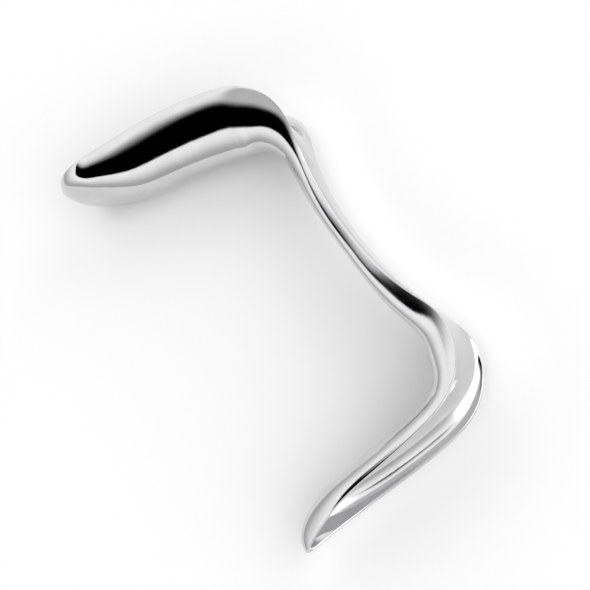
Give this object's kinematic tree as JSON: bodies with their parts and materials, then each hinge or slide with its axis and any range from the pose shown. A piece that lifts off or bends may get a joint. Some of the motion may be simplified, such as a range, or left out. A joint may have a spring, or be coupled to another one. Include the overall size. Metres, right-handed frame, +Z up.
{
  "type": "vaginal retractor",
  "caption": "C-shaped vaginal retractor with a bowed, channelled handle and a scooped, trough-shaped blade at either end.",
  "frame": {"origin": "on the ground, below the middle of the instrument's box, as it lies on its side", "axes": "+Y along the handle towards the large blade, +X from the blades' tips towards the handle, +Z up, across the width of the blades"},
  "size_m": [0.1406, 0.1922, 0.0359],
  "materials": {
    "steel": "mirror polished stainless steel"
  },
  "bodies": {
    "root": {"large_blade": "steel", "handle": "steel", "small_blade": "steel"}
  },
  "joints": []
}
